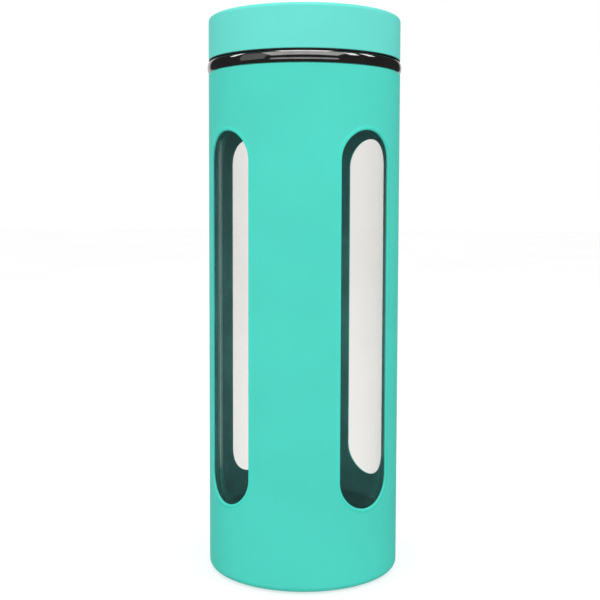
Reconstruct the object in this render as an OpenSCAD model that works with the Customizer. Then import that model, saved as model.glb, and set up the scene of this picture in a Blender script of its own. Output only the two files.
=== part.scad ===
// Glass water bottle in a painted steel sleeve with four long windows.
// The glass stands in a silicone cup on a moulded base plug, a chromed collar
// closes the top of the sleeve, and a screw lid seals on the glass rim.
// Millimetres, +Z up. The origin is the centre of the foot, on the table.
// +X and +Y point through the middles of two windows.

/* [Body] */
// Outer diameter of the sleeve and of the lid
body_d = 74; // [74:0.5:80]
// Height from the table to the top of the lid
total_h = 213.4; // [210:0.2:240]
// Thickness of the sleeve's steel sheet
sleeve_wall = 0.6; // [0.5:0.1:0.8]
// Outer radius of the sleeve's bottom corner
bottom_radius = 2.2; // [1.6:0.1:2.6]

/* [Windows] */
// Width of each window, measured straight across
window_w = 22.4; // [16:0.2:26]
// Height of each window, round ends included
window_h = 139.4; // [60:0.2:140]
// Height of the windows' lower end above the table
window_bottom = 29.8; // [24:0.2:30]

/* [Glass] */
// Outer diameter of the glass body
glass_d = 70.6; // [70:0.2:70.8]
// Thickness of the glass body's wall
glass_wall = 1.5; // [1.4:0.1:2.4]
// Thickness of the glass bottom
glass_base = 4; // [3:0.5:6]
// Outer diameter of the glass neck under its thread
neck_d = 61.2; // [60.6:0.1:61.6]
// Thickness of the neck's wall
neck_wall = 2.6; // [2.2:0.1:3]

/* [Collar] */
// Height of the collar that shows between sleeve and lid
collar_h = 4.4; // [4:0.1:5]
// How far the collar stands out beyond the sleeve
collar_bulge = 0.45; // [0.2:0.05:0.8]

/* [Lid] */
// Height of the painted lid shell
lid_h = 16.1; // [15.9:0.1:17]
// Thickness of the lid shell's sheet
lid_wall = 0.6; // [0.5:0.1:1]
// Radius of the lid shell's top edge
lid_edge_radius = 1.5; // [1:0.1:2.5]

/* [Thread] */
// Number of thread starts
thread_starts = 3; // [2:1:4]
// Distance from one thread rib to the next, along the axis
thread_pitch = 4; // [3.8:0.1:4.2]
// How far the glass thread stands out of the neck
thread_depth = 1.6; // [1.4:0.1:1.7]

/* [Hidden] */

$fn = 96;
arc_steps = 8;     // straight stretches in each rounded part of a profile
gap = 0.05;        // air between neighbouring pieces that don't move apart
far = 200;         // longer than any cut needs

paint = [0.30, 0.83, 0.76];
light_paint = [0.43, 0.88, 0.83];
clear_glass = [0.80, 0.92, 0.90, 0.45];
chrome = [0.45, 0.46, 0.48];
black_plastic = [0.08, 0.09, 0.09];
grey_silicone = [0.62, 0.66, 0.66];
dark_silicone = [0.16, 0.20, 0.20];

// Radii, from the outside in
body_r = body_d / 2;
sleeve_r = body_r - sleeve_wall;          // inside of the sleeve
fill_r = sleeve_r - gap * 2;              // pieces that fill the sleeve
glass_r = glass_d / 2;
glass_inner_r = glass_r - glass_wall;
neck_r = neck_d / 2;
mouth_r = neck_r - neck_wall;
crest_r = neck_r + thread_depth;          // tips of the glass thread
collar_bore_r = crest_r + 1.1;
spigot_r = fill_r - 1.2;                  // inside of the collar's spigot
lip_r = body_r - 6;                       // the sleeve's bottom lip reaches in to here
boss_r = lip_r - 0.2;                     // the plug's boss, inside the lip
foot_inner_r = boss_r - 7.2;
foot_outer_r = boss_r - 1.4;

// Heights, from the table up
foot_drop = 0.5;                          // the foot stands this far below the sleeve
lip_top = foot_drop + sleeve_wall;
plug_top = lip_top + 3.7;
glass_bottom = plug_top + 2.1;
glass_floor = glass_bottom + glass_base;
shell_bottom = total_h - lid_h;
flange_h = 0.4;                           // the liner's edge that shows under the shell
lid_bottom = shell_bottom - gap - flange_h;
lid_gap = 0.25;                           // air between the closed lid and the collar
collar_top = lid_bottom - lid_gap;
sleeve_top = collar_top - collar_h;
shell_top_inside = total_h - lid_wall;
liner_top = shell_top_inside - gap;
ceiling = liner_top - 2.2;                // the liner's underside, over the gasket
gasket_h = 1.65;
rim_top = ceiling - gap - gasket_h - 0.1;
shoulder_bend = 5;                        // radius of both bends of the shoulder
shoulder_z = sleeve_top - 9.6;

// Thread: the glass ribs and the liner ribs follow the same right-handed helix
thread_lead = thread_starts * thread_pitch;
rib_climb = 6;                            // each rib climbs this far along the axis
rib_root_w = 2;
rib_crest_w = 1;
rib_step = 9;                             // degrees between two sections of a rib
rib_bite = 0.4;                           // the rib's root is this deep in the wall
rib_fade = 3;                             // sections over which a rib's end fades out
liner_r = crest_r + 0.6;                  // inside wall of the lid liner
liner_crest_r = neck_r + 0.6;
glass_rib_z = collar_top + 2.4;
liner_rib_z = glass_rib_z - 1.6;          // just under the glass rib that it pulls on
liner_rib_turn = 30;                      // the liner's ribs start this far round

// Points of an arc about c, from angle a0 to angle a1
function arc(c, r, a0, a1) = [
    for (i = [0:arc_steps]) let (a = a0 + (a1 - a0) * i / arc_steps) c + r * [cos(a), sin(a)]
];

// The angle and the height of a double bend that steps in from radius r_low to r_high
function bend_angle(r_low, r_high) = acos(1 - (r_low - r_high) / (2 * shoulder_bend));
function bend_height(r_low, r_high) = 2 * shoulder_bend * sin(bend_angle(r_low, r_high));

// A double bend from [r_low, z] up to r_high
function double_bend(r_low, r_high, z) =
    let (a = bend_angle(r_low, r_high), rise = bend_height(r_low, r_high))
    concat(
        arc([r_low - shoulder_bend, z], shoulder_bend, 0, a),
        arc([r_high + shoulder_bend, z + rise], shoulder_bend, 180 + a, 180)
    );

function reversed(list) = [for (i = [len(list) - 1:-1:0]) list[i]];

module turned(profile) {
    rotate_extrude() polygon(profile);
}

// One thread rib on a wall, from height 0 and angle 0 up, fading out at both ends
module thread_rib(wall_r, tip_r) {
    inward = tip_r < wall_r;
    sweep = rib_climb / thread_lead * 360;
    steps = round(sweep / rib_step);
    root_r = wall_r + (inward ? rib_bite : -rib_bite);
    points = [
        for (i = [0:steps])
            let (
                a = sweep * i / steps,
                z = thread_lead * a / 360,
                full = min(1, i / rib_fade, (steps - i) / rib_fade),
                r = wall_r + (tip_r - wall_r) * (1.1 * full - 0.1)
            )
            for (p = [
                [root_r, -rib_root_w / 2], [r, -rib_crest_w / 2], [r, rib_crest_w / 2], [root_r, rib_root_w / 2]
            ])
                [p[0] * cos(a), p[0] * sin(a), z + p[1]]
    ];
    sides = [
        for (i = [0:steps - 1], j = [0:3], half = [0, 1])
            let (a = 4 * i + j, b = 4 * i + (j + 1) % 4)
            half == 0 ? [a, b, b + 4] : [a, b + 4, a + 4]
    ];
    ends = [[3, 2, 1, 0], [4 * steps, 4 * steps + 1, 4 * steps + 2, 4 * steps + 3]];
    faces = [for (f = concat(sides, ends)) inward ? reversed(f) : f];
    polyhedron(points, faces, convexity = 6);
}

module thread_ribs(wall_r, tip_r, z, turn) {
    for (k = [0:thread_starts - 1])
        translate([0, 0, z]) rotate(turn + 360 / thread_starts * k) thread_rib(wall_r, tip_r);
}

// Straight-walled bottle with a double-bend shoulder, a threaded neck and a round rim
module glass_vessel() {
    corner = 6;
    inner_corner = 5;
    punt_r = glass_r - 11;
    rim_r = neck_wall / 2;
    outside = concat(
        [[0, glass_bottom + 0.8], [punt_r, glass_bottom + 0.8], [punt_r + 1.5, glass_bottom]],
        arc([glass_r - corner, glass_bottom + corner], corner, -90, 0),
        double_bend(glass_r, neck_r, shoulder_z)
    );
    rim = arc([neck_r - rim_r, rim_top - rim_r], rim_r, 0, 180);
    inside = concat(
        reversed(double_bend(glass_inner_r, mouth_r, shoulder_z - 1.1)),
        arc([glass_inner_r - inner_corner, glass_floor + inner_corner], inner_corner, 0, -90),
        [[0, glass_floor]]
    );
    color(clear_glass) {
        union() {
            turned(concat(outside, rim, inside));
            thread_ribs(neck_r, crest_r, glass_rib_z, 0);
        }
    }
}

module window_prism() {
    end_r = window_w / 2;
    rotate([90, 0, 90]) linear_extrude(far, center = true) {
        translate([-end_r, window_bottom + end_r]) square([window_w, window_h - window_w]);
        translate([0, window_bottom + end_r]) circle(end_r);
        translate([0, window_bottom + window_h - end_r]) circle(end_r);
    }
}

// Steel tube, turned in at the bottom to a narrow lip, with four long windows
module outer_sleeve() {
    inner_corner = bottom_radius - sleeve_wall;
    profile = concat(
        [[lip_r, foot_drop]],
        arc([body_r - bottom_radius, foot_drop + bottom_radius], bottom_radius, -90, 0),
        [[body_r, sleeve_top - gap], [sleeve_r, sleeve_top - gap]],
        arc([sleeve_r - inner_corner, lip_top + inner_corner], inner_corner, 0, -90),
        [[lip_r, lip_top]]
    );
    color(paint) difference() {
        turned(profile);
        window_prism();
        rotate(90) window_prism();
    }
}

// Moulded disc that drops in from the top and stops on the sleeve's lip
module base_plug() {
    boss_bottom = foot_drop + 0.1;
    groove_top = foot_drop + 1.7;
    edge = bottom_radius - sleeve_wall + 0.2;
    bottom = lip_top + gap;
    profile = concat(
        [[0, foot_drop + 1.3], [foot_inner_r - 3.2, foot_drop + 1.3], [foot_inner_r - 2, boss_bottom]],
        [[foot_inner_r - gap, boss_bottom], [foot_inner_r - gap, groove_top]],
        [[foot_outer_r + gap, groove_top], [foot_outer_r + gap, boss_bottom], [boss_r, boss_bottom]],
        [[boss_r, bottom], [fill_r - edge, bottom], [fill_r, bottom + edge]],
        [[fill_r, plug_top], [0, plug_top]]
    );
    color(black_plastic) turned(profile);
}

// Non-slip ring in the plug's groove, the only piece that touches the table
module foot_ring() {
    edge = 0.35;
    top = foot_drop + 1.65;
    profile = concat(
        arc([foot_inner_r + edge, edge], edge, 180, 270),
        arc([foot_outer_r - edge, edge], edge, 270, 360),
        [[foot_outer_r, top], [foot_inner_r, top]]
    );
    color(dark_silicone) turned(profile);
}

// Soft cup round the glass's bottom corner, hidden below the windows
module base_cushion() {
    hole_r = 12;
    wall_top = glass_bottom + 14;
    corner = 6 + gap;
    inner_r = glass_r + gap;
    lip = (fill_r - inner_r) / 2;
    profile = concat(
        [[hole_r, plug_top + gap], [fill_r - 1, plug_top + gap], [fill_r, plug_top + gap + 1]],
        arc([fill_r - lip, wall_top - lip], lip, 0, 180),
        arc([inner_r - corner, glass_bottom - gap + corner], corner, 0, -90),
        [[hole_r, glass_bottom - gap]]
    );
    color(grey_silicone) turned(profile);
}

// Soft ring over the glass's shoulder, hidden above the windows, with a lip up the neck
module shoulder_cushion() {
    bottom = shoulder_z - 4;
    spigot_bottom = sleeve_top - 6;
    underside = sleeve_top + 1.4;
    air = 2 * gap;
    profile = concat(
        [[glass_r + air, bottom], [fill_r, bottom], [fill_r, spigot_bottom - air]],
        [[spigot_r - air, spigot_bottom - air], [spigot_r - air, underside - air]],
        [[collar_bore_r - air, underside - air], [collar_bore_r - air, collar_top - 0.7]],
        [[collar_bore_r - 0.5, collar_top - 0.3], [neck_r + air, collar_top - 0.3]],
        reversed(double_bend(glass_r + air, neck_r + air, shoulder_z))
    );
    color(dark_silicone) turned(profile);
}

// Bright ring between sleeve and lid, with a spigot pressed into the sleeve
module neck_collar() {
    spigot_bottom = sleeve_top - 6;
    underside = sleeve_top + 1.4;
    half_h = collar_h / 2;
    side = [
        for (i = [-arc_steps:arc_steps])
            let (t = i / arc_steps)
            [body_r - 0.6 + (collar_bulge + 0.6) * sqrt(1 - 0.94 * t * t), sleeve_top + half_h * (1 + t)]
    ];
    profile = concat(
        [[spigot_r, spigot_bottom], [fill_r, spigot_bottom], [fill_r, sleeve_top]],
        side,
        [[collar_bore_r + 0.5, collar_top], [collar_bore_r, collar_top - 0.5]],
        [[collar_bore_r, underside], [spigot_r, underside]]
    );
    color(chrome) turned(profile);
}

// Painted steel cap with a rounded top edge
module lid_shell() {
    inner_r = body_r - lid_wall;
    inner_edge = lid_edge_radius - lid_wall / 2;
    profile = concat(
        [[body_r, shell_bottom]],
        arc([body_r - lid_edge_radius, total_h - lid_edge_radius], lid_edge_radius, 0, 90),
        [[0, total_h], [0, shell_top_inside]],
        arc([inner_r - inner_edge, shell_top_inside - inner_edge], inner_edge, 90, 0),
        [[inner_r, shell_bottom]]
    );
    color(light_paint) turned(profile);
}

// Moulded inner cap: thread, gasket seat and the thin edge that shows under the shell
module lid_liner() {
    outer_r = body_r - lid_wall - gap;
    flange_r = body_r - 0.15;
    chamfer = 1.6;
    plug_r = mouth_r - 0.7;
    bead_r = liner_r - 0.9;               // a low bead keeps the gasket in its seat
    bead_z = rim_top - 0.7;
    profile = concat(
        [[liner_r + 0.8, lid_bottom], [flange_r, lid_bottom], [flange_r, lid_bottom + flange_h]],
        [[outer_r, lid_bottom + flange_h], [outer_r, liner_top - chamfer], [outer_r - chamfer, liner_top]],
        [[0, liner_top], [0, ceiling - 1.4], [plug_r - 0.6, ceiling - 1.4], [plug_r, ceiling - 0.8]],
        [[plug_r, ceiling], [liner_r, ceiling], [liner_r, bead_z + 0.6], [bead_r, bead_z + 0.5]],
        [[bead_r, bead_z + 0.2], [liner_r, bead_z - 0.7], [liner_r, lid_bottom + 0.8]]
    );
    color(black_plastic) union() {
        turned(profile);
        thread_ribs(liner_r, liner_crest_r, liner_rib_z + thread_lead * liner_rib_turn / 360, liner_rib_turn);
    }
}

// Sealing ring that rides in the lid and presses on the glass rim
module lid_gasket() {
    edge = 0.3;
    inner_r = mouth_r - 0.4;
    outer_r = liner_r - 0.4;
    bottom = ceiling - gap - gasket_h;
    top = ceiling - gap;
    profile = concat(
        arc([inner_r + edge, bottom + edge], edge, 180, 270),
        arc([outer_r - edge, bottom + edge], edge, 270, 360),
        [[outer_r, top], [inner_r, top]]
    );
    color(grey_silicone) turned(profile);
}

glass_vessel();
outer_sleeve();
base_plug();
foot_ring();
base_cushion();
shoulder_cushion();
neck_collar();
lid_shell();
lid_liner();
lid_gasket();
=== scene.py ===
"""Looks for the glass water bottle: finer meshes, materials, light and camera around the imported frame."""

import math

import bmesh
import bpy
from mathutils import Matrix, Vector


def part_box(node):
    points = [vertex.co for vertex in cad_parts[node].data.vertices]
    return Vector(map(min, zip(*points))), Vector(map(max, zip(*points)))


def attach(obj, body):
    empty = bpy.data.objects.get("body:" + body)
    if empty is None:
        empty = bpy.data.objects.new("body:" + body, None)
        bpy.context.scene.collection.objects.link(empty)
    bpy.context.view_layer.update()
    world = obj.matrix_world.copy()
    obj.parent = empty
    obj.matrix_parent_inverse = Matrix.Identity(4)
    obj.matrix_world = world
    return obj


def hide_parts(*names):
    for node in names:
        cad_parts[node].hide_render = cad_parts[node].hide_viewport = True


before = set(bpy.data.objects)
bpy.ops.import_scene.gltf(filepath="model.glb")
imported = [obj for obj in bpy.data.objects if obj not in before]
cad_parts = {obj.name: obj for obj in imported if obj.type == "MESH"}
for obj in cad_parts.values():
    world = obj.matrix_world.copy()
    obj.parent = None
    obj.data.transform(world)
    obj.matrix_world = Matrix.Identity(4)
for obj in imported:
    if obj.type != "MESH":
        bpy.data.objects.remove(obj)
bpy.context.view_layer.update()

# Sizes in millimetres. Everything that the frame can give is read from its boxes.
MM = 0.001
STEPS = 192                     # flat sides around a turned piece
THREAD_STEPS = 384              # and around one that carries a thread
ARC_STEPS = 8                   # along one fillet
SHARP_ANGLE = 40                # degrees; flatter edges are shaded smooth
FIT = 0.05                      # air between pieces that are pressed or bonded together
WALL = 0.6                      # the sleeve's and the lid's sheet
BOTTOM_RADIUS = 2.2
LID_RADIUS = 1.5
WINDOW_W = 22.4
WINDOW_H = 139.4
WINDOW_BOTTOM = 29.8
GLASS_WALL = 1.5
GLASS_BASE = 4.0
BASE_CORNER = 6.0               # fillet at the glass's bottom corner
NECK_D = 61.2
NECK_WALL = 2.6
SHOULDER_BEND = 5.0
THREAD_DEPTH = 1.6
THREAD_STARTS = 3
THREAD_LEAD = 12.0
RIB_TURN = 180.0                # degrees that one thread rib goes round
RIB_FADE = 27.0                 # degrees over which a rib's end fades out
RIB_CREST = 1.0                 # a rib's width along the axis at its crest
RIB_ROOT = 1.84                 # and at its root


def low(node):
    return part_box(node)[0] / MM


def high(node):
    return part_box(node)[1] / MM


BODY_R = high("outer_sleeve").x
SLEEVE_R = BODY_R - WALL
FILL_R = high("base_plug").x
GLASS_R = high("glass_vessel").x
NECK_R = NECK_D / 2
MOUTH_R = NECK_R - NECK_WALL
CREST_R = NECK_R + THREAD_DEPTH
LINER_R = CREST_R + 0.6
COLLAR_BORE_R = CREST_R + 1.1
SPIGOT_R = FILL_R - 1.2         # inside of the collar's spigot
FOOT_INNER_R = BODY_R - 13.4
FOOT_OUTER_R = high("foot_ring").x

SLEEVE_BOTTOM = low("outer_sleeve").z
SLEEVE_TOP = high("outer_sleeve").z
PLUG_TOP = high("base_plug").z
GLASS_BOTTOM = low("glass_vessel").z
RIM_TOP = high("glass_vessel").z
SPIGOT_BOTTOM = low("neck_collar").z
COLLAR_TOP = high("neck_collar").z
COLLAR_BOTTOM = SPIGOT_BOTTOM + 6
COLLAR_LEDGE = COLLAR_BOTTOM + 1.4      # underside of the collar's inner flange
SHOULDER_Z = SPIGOT_BOTTOM - 3.6
SHELL_BOTTOM = low("lid_shell").z
TOTAL_H = high("lid_shell").z
LINER_BOTTOM = low("lid_liner").z
LINER_TOP = high("lid_liner").z
GASKET_TOP = high("lid_gasket").z


# --- outlines and meshes ---------------------------------------------------------------------


def rounded(corners):
    """The outline through corners (r, z, fillet), each corner with a fillet turned into an arc."""
    points = []
    for i, (r, z, fillet) in enumerate(corners):
        corner = Vector((r, z))
        if not fillet:
            points.append(corner)
            continue
        before = (Vector(corners[i - 1][:2]) - corner).normalized()
        after = (Vector(corners[(i + 1) % len(corners)][:2]) - corner).normalized()
        half = before.angle(after) / 2
        centre = corner + (before + after).normalized() * fillet / math.sin(half)
        start = corner + before * fillet / math.tan(half) - centre
        side = 1 if before.x * after.y - before.y * after.x < 0 else -1
        for k in range(ARC_STEPS + 1):
            turn = side * (math.pi - 2 * half) * k / ARC_STEPS
            c, s = math.cos(turn), math.sin(turn)
            points.append(centre + Vector((start.x * c - start.y * s, start.x * s + start.y * c)))
    return points


def shoulder(r_low, r_high, z):
    """Corners of the double bend that steps in from r_low, at height z, to r_high above it."""
    angle = math.acos(1 - (r_low - r_high) / (2 * SHOULDER_BEND))
    reach = SHOULDER_BEND * math.tan(angle / 2)
    rise = 2 * SHOULDER_BEND * math.sin(angle)
    fillet = SHOULDER_BEND * 0.98              # the two arcs don't quite meet
    return [(r_low, z + reach, fillet), (r_high, z + rise - reach, fillet)]


def finish_mesh(name, mesh_data):
    """Turns a bmesh into a smooth-shaded object with normals that follow its large faces."""
    bmesh.ops.recalc_face_normals(mesh_data, faces=mesh_data.faces)
    mesh = bpy.data.meshes.new(name)
    mesh_data.to_mesh(mesh)
    mesh_data.free()
    mesh.shade_smooth()
    mesh.set_sharp_from_angle(angle=math.radians(SHARP_ANGLE))
    piece = bpy.data.objects.new(name, mesh)
    bpy.context.scene.collection.objects.link(piece)
    weighted = piece.modifiers.new("weighted_normals", "WEIGHTED_NORMAL")
    weighted.keep_sharp = True
    return piece


def join_rings(mesh_data, a, b):
    """Faces between two rings of vertices; a ring of one vertex is a point on the axis."""
    if len(a) == 1 and len(b) == 1:
        return
    count = max(len(a), len(b))
    for i in range(count):
        j = (i + 1) % count
        corners = [a[i % len(a)], a[j % len(a)], b[j % len(b)], b[i % len(b)]]
        mesh_data.faces.new(list(dict.fromkeys(corners)))


def turned_rings(mesh_data, outline, steps, radius_at=None):
    """One ring of vertices for each (r, z) of the outline, about Z."""
    rings = []
    for r, z in outline:
        if r < 0.001:
            rings.append([mesh_data.verts.new((0, 0, z * MM))])
            continue
        ring = []
        for i in range(steps):
            angle = math.tau * i / steps
            radius = radius_at(r, z, angle) if radius_at else r
            place = Vector((radius * math.cos(angle), radius * math.sin(angle), z)) * MM
            ring.append(mesh_data.verts.new(place))
        rings.append(ring)
    return rings


def lathe(name, outline, steps=STEPS, radius_at=None):
    """A turned solid. The outline is closed, or starts and ends on the axis."""
    mesh_data = bmesh.new()
    rings = turned_rings(mesh_data, outline, steps, radius_at)
    for a, b in zip(rings, rings[1:]):
        join_rings(mesh_data, a, b)
    if len(rings[0]) > 1:
        join_rings(mesh_data, rings[-1], rings[0])
    return finish_mesh(name, mesh_data)


def level_rows(r, z_from, z_to):
    """Corners up or down a straight wall, close enough together to carry a thread."""
    row_height = 0.14
    count = round(abs(z_to - z_from) / row_height)
    return [(r, z_from + (z_to - z_from) * i / count, 0) for i in range(count + 1)]


def smooth(t):
    """An S-curve from 0 to 1, level at both ends."""
    t = min(1.0, max(0.0, t))
    return t * t * (3 - 2 * t)


def thread_ribs(wall_r, tip_r, z_start, turn):
    """A function that raises the thread's ribs out of a wall of radius wall_r."""
    crest_half, root_half = RIB_CREST / 2, RIB_ROOT / 2

    def radius_at(r, z, angle):
        if abs(r - wall_r) > 0.001:
            return r
        height = 0.0
        for k in range(THREAD_STARTS):
            along = (math.degrees(angle) - turn - 360 / THREAD_STARTS * k) % 360
            if along > RIB_TURN:
                continue
            middle = z_start + THREAD_LEAD * along / 360
            across = smooth((root_half - abs(z - middle)) / (root_half - crest_half))
            fade = smooth(along / RIB_FADE) * smooth((RIB_TURN - along) / RIB_FADE)
            height = max(height, across * fade)
        return r + (tip_r - wall_r) * height

    return radius_at


# --- materials -------------------------------------------------------------------------------


class Look:
    """A Principled material, with helpers that add variation to its sockets."""

    def __init__(self, name, **sockets):
        self.material = bpy.data.materials.new(name)
        self.material.use_nodes = True
        self.tree = self.material.node_tree
        self.shader = self.tree.nodes["Principled BSDF"]
        self.place = self.tree.nodes.new("ShaderNodeTexCoord").outputs["Object"]
        self.bumps = None
        for socket, value in sockets.items():
            self.shader.inputs[socket.replace("_", " ")].default_value = value

    def node(self, kind, **inputs):
        made = self.tree.nodes.new(kind)
        for socket, value in inputs.items():
            made.inputs[socket.replace("_", " ")].default_value = value
        return made

    def noise(self, size, detail=2.0, stretch=(1, 1, 1)):
        """Noise whose features are about size millimetres across, 0 to 1."""
        mapping = self.node("ShaderNodeMapping")
        mapping.inputs["Scale"].default_value = stretch
        made = self.node("ShaderNodeTexNoise", Scale=1 / (size * MM), Detail=detail, Roughness=0.5)
        self.tree.links.new(self.place, mapping.inputs["Vector"])
        self.tree.links.new(mapping.outputs["Vector"], made.inputs["Vector"])
        return made.outputs["Fac"]

    def colour(self, source, dark, light):
        """Base colour from dark to light, over the middle of the noise's range."""
        ramp = self.node("ShaderNodeValToRGB")
        for stop, position, shade in zip(ramp.color_ramp.elements, (0.35, 0.65), (dark, light)):
            stop.position = position
            stop.color = (*shade, 1)
        self.tree.links.new(source, ramp.inputs["Fac"])
        self.tree.links.new(ramp.outputs["Color"], self.shader.inputs["Base Color"])

    def map_range(self, source, from_min, from_max, to_min, to_max):
        made = self.node(
            "ShaderNodeMapRange", From_Min=from_min, From_Max=from_max, To_Min=to_min, To_Max=to_max)
        self.tree.links.new(source, made.inputs["Value"])
        return made.outputs["Result"]

    def roughness(self, source, smoothest, roughest):
        """Roughness over the middle of the noise's range."""
        spread = self.map_range(source, 0.3, 0.7, smoothest, roughest)
        self.tree.links.new(spread, self.shader.inputs["Roughness"])

    def bump(self, source, depth):
        """Relief of depth millimetres. Each call adds to the one before."""
        made = self.node("ShaderNodeBump", Strength=1.0, Distance=depth * MM)
        self.tree.links.new(source, made.inputs["Height"])
        if self.bumps:
            self.tree.links.new(self.bumps, made.inputs["Normal"])
        self.bumps = made.outputs["Normal"]
        self.tree.links.new(self.bumps, self.shader.inputs["Normal"])


def scaled(colour, factor):
    return tuple(channel * factor for channel in colour)


def powder_coat(name, colour, gloss=0.0):
    """Satin powder coat: fine orange peel, and a slow drift of colour and gloss."""
    look = Look(name, IOR=1.45)
    look.colour(look.noise(28, detail=3), scaled(colour, 0.975), scaled(colour, 1.02))
    look.roughness(look.noise(9, detail=4), 0.42 - gloss, 0.50 - gloss)    # gloss lowers roughness
    look.bump(look.noise(1.3, detail=2), 0.012)
    look.bump(look.noise(0.25, detail=1), 0.0015)
    return look.material


def shade_darkened_inside(colour):
    """The sleeve's unpolished inside: a coat of its own with hardly any gloss, its colour set darker than
    the outside paint as painted shade inside the tube.
    """
    look = Look("sleeve_inside", IOR=1.45, Specular_IOR_Level=0.15)
    look.colour(look.noise(14, detail=5), scaled(colour, 0.85), scaled(colour, 1.12))
    look.roughness(look.noise(3, detail=3), 0.65, 0.8)
    look.bump(look.noise(0.6, detail=3, stretch=(1, 1, 4)), 0.006)
    return look.material


def polished_metal():
    """Dark polished chrome with fine turning marks."""
    look = Look("dark_chrome", Metallic=1.0)
    look.colour(look.noise(5, detail=3), (0.40, 0.39, 0.39), (0.46, 0.45, 0.45))
    look.roughness(look.noise(2.5, detail=4, stretch=(1, 1, 6)), 0.05, 0.10)
    look.bump(look.noise(0.5, detail=3, stretch=(0.2, 0.2, 8)), 0.0006)
    return look.material


def bottle_glass():
    """Clear soda-lime glass with the faint waves of a blown wall."""
    look = Look("bottle_glass", Transmission_Weight=1.0, IOR=1.45)
    look.colour(look.noise(40, detail=1), (0.945, 0.935, 0.92), (0.96, 0.95, 0.935))
    look.roughness(look.noise(20, detail=2), 0.0, 0.012)
    look.bump(look.noise(22, detail=1), 0.012)
    return look.material


def moulded_plastic():
    """Black moulded polypropylene with a fine spark-eroded grain."""
    look = Look("black_plastic", IOR=1.49)
    look.colour(look.noise(6, detail=4), (0.012, 0.0125, 0.0125), (0.022, 0.0225, 0.0225))
    look.roughness(look.noise(2, detail=3), 0.42, 0.56)
    look.bump(look.noise(0.35, detail=3), 0.006)
    return look.material


def silicone(name, colour, gloss=0.0):
    """Moulded silicone: matte, soft-looking, with a fine grain."""
    look = Look(name, IOR=1.41, Sheen_Weight=0.08, Sheen_Roughness=0.4)
    look.colour(look.noise(4, detail=4), scaled(colour, 0.88), scaled(colour, 1.1))
    look.roughness(look.noise(1.5, detail=3), 0.55 - gloss, 0.72 - gloss)
    look.bump(look.noise(0.3, detail=2), 0.006)
    return look.material


# --- pieces ----------------------------------------------------------------------------------


def add(piece, node, slot, *materials, body="bottle"):
    """Puts a piece in place of its CAD node, with its materials, on the body that it moves with."""
    for material in materials:
        piece.data.materials.append(material)
    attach(piece, body)
    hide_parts(node)
    return piece


def window_edge():
    """Cross-section of a window's edge: (distance from the edge, radius), outside to inside."""
    lip_r = BODY_R + 0.20                      # the coat builds up a little at the edge
    border = 4.0
    return rounded([
        (border, BODY_R, 0), (1.6, BODY_R, 1.2), (0.85, lip_r, 0.35), (0, lip_r, 0.6),
        (0, SLEEVE_R, 0.12), (border, SLEEVE_R, 0),
    ])


def stadium(distance, across, up):
    """Points round a window at a distance from its edge: (across, height), from the right side up."""
    end_r = WINDOW_W / 2
    top = WINDOW_BOTTOM + WINDOW_H - end_r
    bottom = WINDOW_BOTTOM + end_r
    r = end_r + distance
    points = []
    for i in range(across):
        angle = math.pi * i / across
        points.append((r * math.cos(angle), top + r * math.sin(angle)))
    points += [(-r, top + (bottom - top) * i / up) for i in range(up)]
    for i in range(across):
        angle = math.pi * (1 + i / across)
        points.append((r * math.cos(angle), bottom + r * math.sin(angle)))
    points += [(r, bottom + (top - bottom) * i / up) for i in range(up)]
    return points


def panel_border(z_top, z_bottom, across, up):
    """Points round a quarter of the tube, matched to stadium(): (angle, height)."""
    side = math.pi / 4
    points = [(side - 2 * side * i / across, z_top) for i in range(across)]
    points += [(-side, z_top + (z_bottom - z_top) * i / up) for i in range(up)]
    points += [(-side + 2 * side * i / across, z_bottom) for i in range(across)]
    points += [(side, z_bottom + (z_top - z_bottom) * i / up) for i in range(up)]
    return points


def window_panel(mesh_data, turn, z_top, z_bottom):
    """A quarter of the sleeve, both faces, with its window in the middle."""
    across, up = STEPS // 4, 56                # points round a window's end, and up its side
    spread = 12                                # rings from the window's edge to the panel's border
    border = panel_border(z_top, z_bottom, across, up)

    def ring(points):
        made = []
        for angle, radius, z in points:
            x, y = math.cos(angle + turn), math.sin(angle + turn)
            made.append(mesh_data.verts.new(Vector((radius * x, radius * y, z)) * MM))
        return made

    def edge_ring(distance, radius):
        return [(math.asin(y / radius), radius, z) for y, z in stadium(distance, across, up)]

    def spread_ring(edge, share):
        return [
            (a + (b - a) * share, radius, z + (height - z) * share)
            for (a, radius, z), (b, height) in zip(edge, border)
        ]

    section = window_edge()
    outer = edge_ring(*section[0])
    inner = edge_ring(*section[-1])
    rings = [spread_ring(outer, 1 - i / spread) for i in range(spread)]
    rings += [edge_ring(*point) for point in section]
    rings += [spread_ring(inner, (i + 1) / spread) for i in range(spread)]
    made = [ring(points) for points in rings]
    for a, b in zip(made, made[1:]):
        join_rings(mesh_data, a, b)


def sleeve_coat(face):
    """The index of a sleeve face's material: 0 outside, 1 inside, 2 on the windows' rolled edges."""
    middle = face.calc_center_median()
    radius, height = middle.xy.length / MM, middle.z / MM
    if radius < SLEEVE_R + 0.02 and height > SLEEVE_BOTTOM + WALL * 0.9:
        return 1
    return 2 if radius > BODY_R + 0.03 else 0


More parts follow.
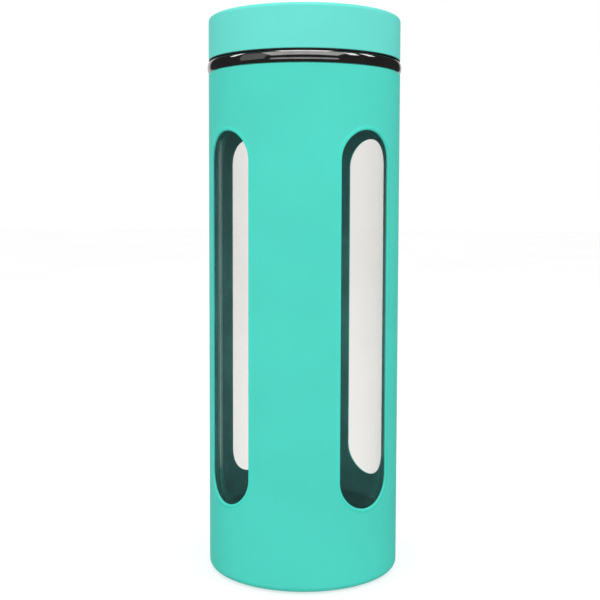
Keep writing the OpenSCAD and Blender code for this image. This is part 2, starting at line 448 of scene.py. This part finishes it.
def outer_sleeve(paint, inside, edge):
    """Four window panels between a rolled-in bottom lip and a plain top edge."""
    mesh_data = bmesh.new()
    margin = 6                                 # of each panel above and below its window
    z_top, z_bottom = WINDOW_BOTTOM + WINDOW_H + margin, WINDOW_BOTTOM - margin
    for k in range(4):
        window_panel(mesh_data, k * math.pi / 2, z_top, z_bottom)
    lip_r = BODY_R - 6
    bottom = rounded([
        (BODY_R, z_bottom, 0), (BODY_R, SLEEVE_BOTTOM, BOTTOM_RADIUS), (lip_r, SLEEVE_BOTTOM, 0.2),
        (lip_r, SLEEVE_BOTTOM + WALL, 0.2), (SLEEVE_R, SLEEVE_BOTTOM + WALL, BOTTOM_RADIUS - WALL),
        (SLEEVE_R, z_bottom, 0),
    ])
    top = rounded([
        (SLEEVE_R, z_top, 0), (SLEEVE_R, SLEEVE_TOP, 0.12), (BODY_R, SLEEVE_TOP, 0.25), (BODY_R, z_top, 0),
    ])
    for outline in (bottom, top):
        rings = turned_rings(mesh_data, outline, STEPS)
        for a, b in zip(rings, rings[1:]):
            join_rings(mesh_data, a, b)
    same_place = 0.002 * MM
    bmesh.ops.remove_doubles(mesh_data, verts=mesh_data.verts, dist=same_place)
    for face in mesh_data.faces:
        face.material_index = sleeve_coat(face)
    return add(finish_mesh("sleeve", mesh_data), "outer_sleeve", "sleeve_paint", paint, inside, edge)


def glass_vessel(glass):
    """The bottle: a shallow punt, a shoulder, a threaded neck and a round rim."""
    floor_z = GLASS_BOTTOM + GLASS_BASE
    inner_r = GLASS_R - GLASS_WALL
    punt_r, punt_z = GLASS_R - 11, GLASS_BOTTOM + 0.8
    thread_z = COLLAR_TOP + 2.4
    rows_from, rows_to = thread_z - 1.4, thread_z + 7.4
    rim = NECK_WALL / 2 - 0.01
    inside_shoulder_z = SHOULDER_Z - 1.1
    corners = [
        (0, punt_z, 0), (punt_r, punt_z, 1.0), (punt_r + 1.5, GLASS_BOTTOM, 1.0),
        (GLASS_R, GLASS_BOTTOM, BASE_CORNER), *shoulder(GLASS_R, NECK_R, SHOULDER_Z),
        *level_rows(NECK_R, rows_from, rows_to), (NECK_R, RIM_TOP, rim), (MOUTH_R, RIM_TOP, rim),
        *reversed(shoulder(inner_r, MOUTH_R, inside_shoulder_z)),
        (inner_r, floor_z, 5.0), (0, floor_z, 0),
    ]
    ribs = thread_ribs(NECK_R, CREST_R, thread_z, 0)
    piece = lathe("glass", rounded(corners), THREAD_STEPS, ribs)
    piece.visible_shadow = False               # light reaches the sleeve's inside as if through air
    piece.visible_diffuse = False
    return add(piece, "glass_vessel", "clear_glass", glass)


def neck_collar(chrome):
    """A bead between sleeve and lid, over a flange and a spigot. Its section is part of an ellipse."""
    bead_steps = 24
    root_r = BODY_R - 0.6
    bulge = high("neck_collar").x - root_r
    roundness = 0.94                           # 1 would bring the bead's ends in to root_r
    half_h = (COLLAR_TOP - COLLAR_BOTTOM) / 2
    bead = []
    for i in range(-bead_steps, bead_steps + 1):
        t = math.sin(math.pi / 2 * i / bead_steps)
        swell = bulge * math.sqrt(1 - roundness * t * t)
        bead.append((root_r + swell, COLLAR_BOTTOM + half_h * (1 + t), 0))
    corners = [
        (SPIGOT_R, SPIGOT_BOTTOM, 0.15), (FILL_R, SPIGOT_BOTTOM, 0.3), (FILL_R, COLLAR_BOTTOM, 0),
        *bead, (COLLAR_BORE_R, COLLAR_TOP, 0.5), (COLLAR_BORE_R, COLLAR_LEDGE, 0.2),
        (SPIGOT_R, COLLAR_LEDGE, 0.2),
    ]
    return add(lathe("collar", rounded(corners)), "neck_collar", "collar_chrome", chrome)


def shoulder_cushion(rubber):
    """A ring that fills the space between the glass's shoulder, the sleeve and the collar."""
    bottom = low("shoulder_cushion").z
    top = high("shoulder_cushion").z
    air = 0.1
    underside = COLLAR_LEDGE - air
    corners = [
        (GLASS_R + air, bottom, 0.4), (FILL_R, bottom, 0.5), (FILL_R, SPIGOT_BOTTOM - air, 0.2),
        (SPIGOT_R - air, SPIGOT_BOTTOM - air, 0.2), (SPIGOT_R - air, underside, 0.2),
        (COLLAR_BORE_R - air, underside, 0.2), (COLLAR_BORE_R - air, top, 0.4), (NECK_R + air, top, 0.25),
        *reversed(shoulder(GLASS_R + air, NECK_R + air, SHOULDER_Z)),
    ]
    piece = lathe("shoulder_ring", rounded(corners))
    return add(piece, "shoulder_cushion", "cushion_silicone", rubber)


def base_cushion(rubber):
    """A cup under the glass and round its bottom corner, with a round upper lip."""
    bottom = low("base_cushion").z
    top = high("base_cushion").z
    hole_r = 12
    inner_r, inner_z = GLASS_R + FIT, GLASS_BOTTOM - FIT
    lip = (FILL_R - inner_r) / 2 - 0.01
    corners = [
        (hole_r, bottom, 0.4), (FILL_R, bottom, 0.9), (FILL_R, top, lip), (inner_r, top, lip),
        (inner_r, inner_z, BASE_CORNER + FIT), (hole_r, inner_z, 0.4),
    ]
    return add(lathe("base_cup", rounded(corners)), "base_cushion", "cushion_silicone", rubber)


def base_plug(plastic):
    """A disc with a groove for the foot, a shallow dish and the moulding's gate mark."""
    boss_bottom = low("base_plug").z
    boss_r = BODY_R - 6.2
    groove_top = boss_bottom + 1.6
    groove_inner_r, groove_outer_r = FOOT_INNER_R - FIT, FOOT_OUTER_R + FIT
    dish_z = boss_bottom + 0.7
    gate_r, gate_z = 1.2, dish_z + 0.5
    bottom = SLEEVE_BOTTOM + WALL + FIT
    edge = BOTTOM_RADIUS - WALL + 0.2
    corners = [
        (0, gate_z, 0), (gate_r, gate_z, 0.2), (gate_r + 0.5, dish_z, 0.25),
        (FOOT_INNER_R - 3.2, dish_z, 0.5), (FOOT_INNER_R - 2, boss_bottom, 0.4),
        (groove_inner_r, boss_bottom, 0.2), (groove_inner_r, groove_top, 0.1),
        (groove_outer_r, groove_top, 0.1), (groove_outer_r, boss_bottom, 0.2),
        (boss_r, boss_bottom, 0.25), (boss_r, bottom, 0.1), (FILL_R - edge, bottom, 0.3),
        (FILL_R, bottom + edge, 0.3), (FILL_R, PLUG_TOP, 0.3), (0, PLUG_TOP, 0),
    ]
    return add(lathe("base_disc", rounded(corners)), "base_plug", "black_plastic", plastic)


def foot_ring(rubber):
    """A soft ring with two shallow grooves that grip the table."""
    top = high("foot_ring").z
    groove_w, groove_depth = 0.7, 0.3
    corners = [(FOOT_INNER_R, 0, 0.35)]
    for k in (1, 2):
        middle = FOOT_INNER_R + (FOOT_OUTER_R - FOOT_INNER_R) * k / 3
        corners += [
            (middle - groove_w / 2, 0, 0.12), (middle - groove_w / 4, groove_depth, 0.08),
            (middle + groove_w / 4, groove_depth, 0.08), (middle + groove_w / 2, 0, 0.12),
        ]
    corners += [(FOOT_OUTER_R, 0, 0.35), (FOOT_OUTER_R, top, 0.1), (FOOT_INNER_R, top, 0.1)]
    return add(lathe("foot", rounded(corners)), "foot_ring", "foot_silicone", rubber)


def lid_shell(paint):
    """A flat-topped steel cap as wide as the sleeve."""
    inner_r = BODY_R - WALL
    inside_top = TOTAL_H - WALL
    corners = [
        (0, TOTAL_H, 0), (BODY_R, TOTAL_H, LID_RADIUS), (BODY_R, SHELL_BOTTOM, 0.28),
        (inner_r, SHELL_BOTTOM, 0.15), (inner_r, inside_top, LID_RADIUS - WALL / 2), (0, inside_top, 0),
    ]
    return add(lathe("lid", rounded(corners)), "lid_shell", "lid_paint", paint, body="lid")


def lid_liner(plastic):
    """The inner cap: a flange under the shell, the thread, a snap bead that holds the gasket, and a plug."""
    outer_r = BODY_R - WALL - FIT
    flange_r = BODY_R - 0.15
    flange_top = LINER_BOTTOM + 0.4
    ceiling = LINER_TOP - 2.2
    plug_r = MOUTH_R - 0.7
    plug_z = ceiling - 1.4
    bead_r = LINER_R - 0.9
    bead_z = RIM_TOP - 0.7
    thread_z = COLLAR_TOP + 0.8
    rows_from, rows_to = thread_z + 8.2, thread_z - 0.4
    corners = [
        (LINER_R + 0.8, LINER_BOTTOM, 0.1), (flange_r, LINER_BOTTOM, 0.12), (flange_r, flange_top, 0.05),
        (outer_r, flange_top, 0), (outer_r, LINER_TOP, 1.6), (0, LINER_TOP, 0),
        (0, plug_z, 0), (plug_r, plug_z, 0.7), (plug_r, ceiling, 0.1), (LINER_R, ceiling, 0.1),
        (LINER_R, bead_z + 0.6, 0), (bead_r, bead_z + 0.5, 0.1), (bead_r, bead_z + 0.2, 0.1),
        (LINER_R, bead_z - 0.7, 0), *level_rows(LINER_R, rows_from, rows_to),
    ]
    turn = 30                                  # the ribs' start, further round than the glass's
    ribs = thread_ribs(LINER_R, NECK_R + 0.6, thread_z + THREAD_LEAD * turn / 360, turn)
    piece = lathe("lid_inner_cap", rounded(corners), THREAD_STEPS, ribs)
    return add(piece, "lid_liner", "black_plastic", plastic, body="lid")


def lid_gasket(rubber):
    """A flat ring on the glass's rim, loose under the snap bead."""
    bottom = low("lid_gasket").z
    inner_r, outer_r = MOUTH_R - 0.4, LINER_R - 0.4
    corners = [
        (inner_r, bottom, 0.3), (outer_r, bottom, 0.3), (outer_r, GASKET_TOP, 0.15),
        (inner_r, GASKET_TOP, 0.15),
    ]
    return add(lathe("seal", rounded(corners)), "lid_gasket", "gasket_silicone", rubber, body="seal")


# --- surroundings ----------------------------------------------------------------------------


# Strengths and radiances are in watts per square metre and steradian, distances in metres.
CAMERA_AZIMUTH = 50.8
FLOOR_R = 6.0
FLOOR_GLOW = 0.64               # what the floor adds to the light it reflects, for the camera
FLOOR_BOUNCE = 0.3              # and for matte surfaces
AMBIENT = 1.04                  # the room's light on matte surfaces
DARK_ROOM = 0.035               # what polished metal and glass mirror where there is no lamp
COVE = 0.7                      # what they mirror of the white cove behind the bottle
COVE_AZIMUTH = CAMERA_AZIMUTH + 184
COVE_HALF_WIDTH = 28
COVE_SOFTNESS = 4


def direction(azimuth, elevation):
    a, e = math.radians(azimuth), math.radians(elevation)
    return Vector((math.sin(a) * math.cos(e), -math.cos(a) * math.cos(e), math.sin(e)))


def backdrop():
    """A pale floor that blends into the white surround. It is clear to light that a mirror sent on."""
    mesh_data = bmesh.new()
    bmesh.ops.create_circle(mesh_data, cap_ends=True, segments=96, radius=FLOOR_R)
    mesh = bpy.data.meshes.new("floor")
    mesh_data.to_mesh(mesh)
    mesh_data.free()
    floor = bpy.data.objects.new("floor", mesh)
    bpy.context.scene.collection.objects.link(floor)
    look = Look("pale_floor", Roughness=0.9, Emission_Color=(1, 1, 1, 1))
    look.colour(look.noise(400, detail=1), (0.34, 0.34, 0.34), (0.36, 0.36, 0.36))
    path = look.node("ShaderNodeLightPath").outputs
    glow = look.map_range(path["Diffuse Depth"], 0, 1, FLOOR_GLOW, FLOOR_BOUNCE)
    look.tree.links.new(glow, look.shader.inputs["Emission Strength"])
    clear = look.node("ShaderNodeBsdfTransparent").outputs["BSDF"]
    mix = look.node("ShaderNodeMixShader")
    look.tree.links.new(path["Glossy Depth"], mix.inputs["Fac"])
    look.tree.links.new(look.shader.outputs["BSDF"], mix.inputs[1])
    look.tree.links.new(clear, mix.inputs[2])
    look.tree.links.new(mix.outputs["Shader"], look.tree.nodes["Material Output"].inputs["Surface"])
    mesh.materials.append(look.material)


def surround():
    """White behind the bottle and through the glass, and even light on matte surfaces.

    Mirrors see a dark room instead, apart from an upright white cove behind the bottle.
    """
    world = bpy.data.worlds.new("studio")
    bpy.context.scene.world = world
    world.use_nodes = True
    nodes, links = world.node_tree.nodes, world.node_tree.links
    nodes.clear()

    def background(level, tint=(1, 1, 1)):
        made = nodes.new("ShaderNodeBackground")
        made.inputs["Color"].default_value = (*tint, 1)
        made.inputs["Strength"].default_value = level
        return made.outputs["Background"]

    def choose(fac, off, on):
        made = nodes.new("ShaderNodeMixShader")
        links.new(fac, made.inputs["Fac"])
        links.new(off, made.inputs[1])
        links.new(on, made.inputs[2])
        return made.outputs["Shader"]

    def vector(operation, value, source):
        made = nodes.new("ShaderNodeVectorMath")
        made.operation = operation
        links.new(source, made.inputs[0])
        made.inputs[1].default_value = value
        return made

    flat = vector("MULTIPLY", (1, 1, 0), nodes.new("ShaderNodeTexCoord").outputs["Generated"])
    level = vector("NORMALIZE", (0, 0, 0), flat.outputs["Vector"])
    towards = vector("DOT_PRODUCT", direction(COVE_AZIMUTH, 0), level.outputs["Vector"])
    cove = nodes.new("ShaderNodeMapRange")
    cove.inputs["From Min"].default_value = math.cos(math.radians(COVE_HALF_WIDTH + COVE_SOFTNESS))
    cove.inputs["From Max"].default_value = math.cos(math.radians(COVE_HALF_WIDTH - COVE_SOFTNESS))
    links.new(towards.outputs["Value"], cove.inputs["Value"])

    warm = (1, 0.95, 0.94)
    dark = choose(cove.outputs["Result"], background(DARK_ROOM, warm), background(COVE, warm))
    path = nodes.new("ShaderNodeLightPath").outputs
    mirrored = choose(path["Glossy Depth"], background(1.0), dark)
    room = choose(path["Diffuse Depth"], mirrored, background(AMBIENT))
    links.new(room, nodes.new("ShaderNodeOutputWorld").inputs["Surface"])
    world.cycles.sampling_method = "NONE"      # each ray then finds the surround that it should see


def softbox(name, azimuth, elevation, distance, width, height, radiance):
    """A rectangular area light that faces the bottle's middle, and shows only in reflections."""
    data = bpy.data.lights.new(name, "AREA")
    data.shape = "RECTANGLE"
    data.size, data.size_y = width, height
    data.energy = radiance * width * height * math.pi
    light = bpy.data.objects.new(name, data)
    middle = Vector((0, 0, TOTAL_H / 2 * MM))
    light.location = middle + direction(azimuth, elevation) * distance
    light.rotation_euler = (middle - light.location).to_track_quat("-Z", "Y").to_euler()
    light.visible_camera = False
    light.visible_transmission = False
    bpy.context.scene.collection.objects.link(light)


def studio_lights():
    lamps = [
        # name, degrees right of the camera, degrees up, distance, width, height, radiance
        ("upper_softbox", 0, 46, 0.75, 1.15, 0.6, 0.7),
        ("overhead_softbox", 0, 80, 0.8, 0.5, 0.35, 2.2),
        ("lower_softbox", 0, -9, 1.6, 2.6, 0.42, 0.5),
        ("left_fill", -62, 20, 1.5, 0.9, 1.3, 0.18),
        ("right_strip", 63, 38, 1.6, 0.3, 0.5, 2.2),
        ("far_right_strip", 90, 38, 1.6, 0.3, 0.5, 2.0),
        ("left_strip", -99, 38, 1.6, 0.25, 0.5, 2.2),
    ]
    for name, azimuth, elevation, distance, width, height, radiance in lamps:
        softbox(name, CAMERA_AZIMUTH + azimuth, elevation, distance, width, height, radiance)


def camera():
    """Close to the bottle and slightly above its middle, turned down a little."""
    distance, eye = 0.4017, 0.1411
    pitch, roll, pan = 3.83, -0.18, 0.22       # degrees
    data = bpy.data.cameras.new("camera")
    data.sensor_width = 36
    data.lens = 61.4
    data.shift_y = -0.04
    data.clip_start = 0.01
    view = bpy.data.objects.new("camera", data)
    view.location = direction(CAMERA_AZIMUTH, 0) * distance + Vector((0, 0, eye))
    view.rotation_euler = [math.radians(a) for a in (90 - pitch, roll, CAMERA_AZIMUTH + pan)]
    bpy.context.scene.collection.objects.link(view)
    bpy.context.scene.camera = view


def main():
    teal = (0.060, 0.64, 0.525)
    light_teal = (0.118, 0.69, 0.60)
    sleeve_paint = powder_coat("sleeve_powder_coat", teal)
    lid_paint = powder_coat("lid_powder_coat", light_teal)
    plastic = moulded_plastic()
    cushion = silicone("cushion_silicone", (0.06, 0.20, 0.19))
    # 3% lighter than the sleeve's teal as a painted highlight along the windows' edges; the lower roughness
    # is the edges' own gloss
    glossy_edge_with_painted_highlight = powder_coat("edge_coat_painted_highlight", scaled(teal, 1.03), gloss=0.30)
    # the inside colour is darker than the outside paint: painted shade inside the sleeve
    outer_sleeve(sleeve_paint, shade_darkened_inside((0.09, 0.29, 0.275)), glossy_edge_with_painted_highlight)
    glass_vessel(bottle_glass())
    neck_collar(polished_metal())
    shoulder_cushion(cushion)
    base_cushion(cushion)
    base_plug(plastic)
    foot_ring(silicone("foot_silicone", (0.04, 0.045, 0.045)))
    lid_shell(lid_paint)
    lid_liner(plastic)
    lid_gasket(silicone("gasket_silicone", (0.68, 0.70, 0.69), gloss=0.15))
    backdrop()
    surround()
    studio_lights()
    camera()
    bpy.context.scene.view_settings.view_transform = "Standard"


main()
